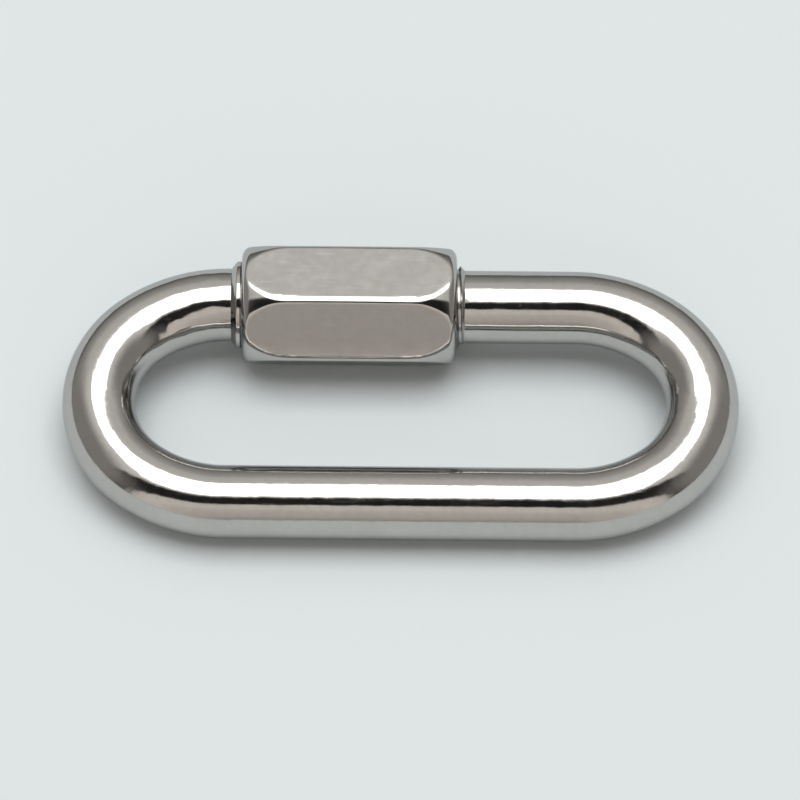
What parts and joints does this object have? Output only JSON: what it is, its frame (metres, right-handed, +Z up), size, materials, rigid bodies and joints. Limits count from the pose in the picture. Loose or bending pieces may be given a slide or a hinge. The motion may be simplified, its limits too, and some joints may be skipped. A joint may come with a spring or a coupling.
{
  "type": "chain quick link",
  "caption": "Oval quick link bent from round stainless rod, closed by a long hexagon sleeve nut that screws back along one leg to open a mouth for joining chain.",
  "frame": {"origin": "middle of the part on the surface it lies on", "axes": "+X along the link, the way the nut opens; +Y from the plain leg to the leg with the nut; +Z up"},
  "size_m": [0.111, 0.0532, 0.019],
  "materials": {
    "rod_steel": "polished stainless steel with fine handling scratches",
    "nut_steel": "stainless steel with satin flats and polished edges and crowned ends"
  },
  "bodies": {
    "link": {"link_body": "rod_steel"},
    "nut": {"sleeve_nut": "nut_steel"}
  },
  "joints": [
    {"name": "nut_travel", "type": "slide", "parent": "link", "child": "nut", "axis": [1, 0, 0], "range_m": [0, 0.021]}
  ]
}
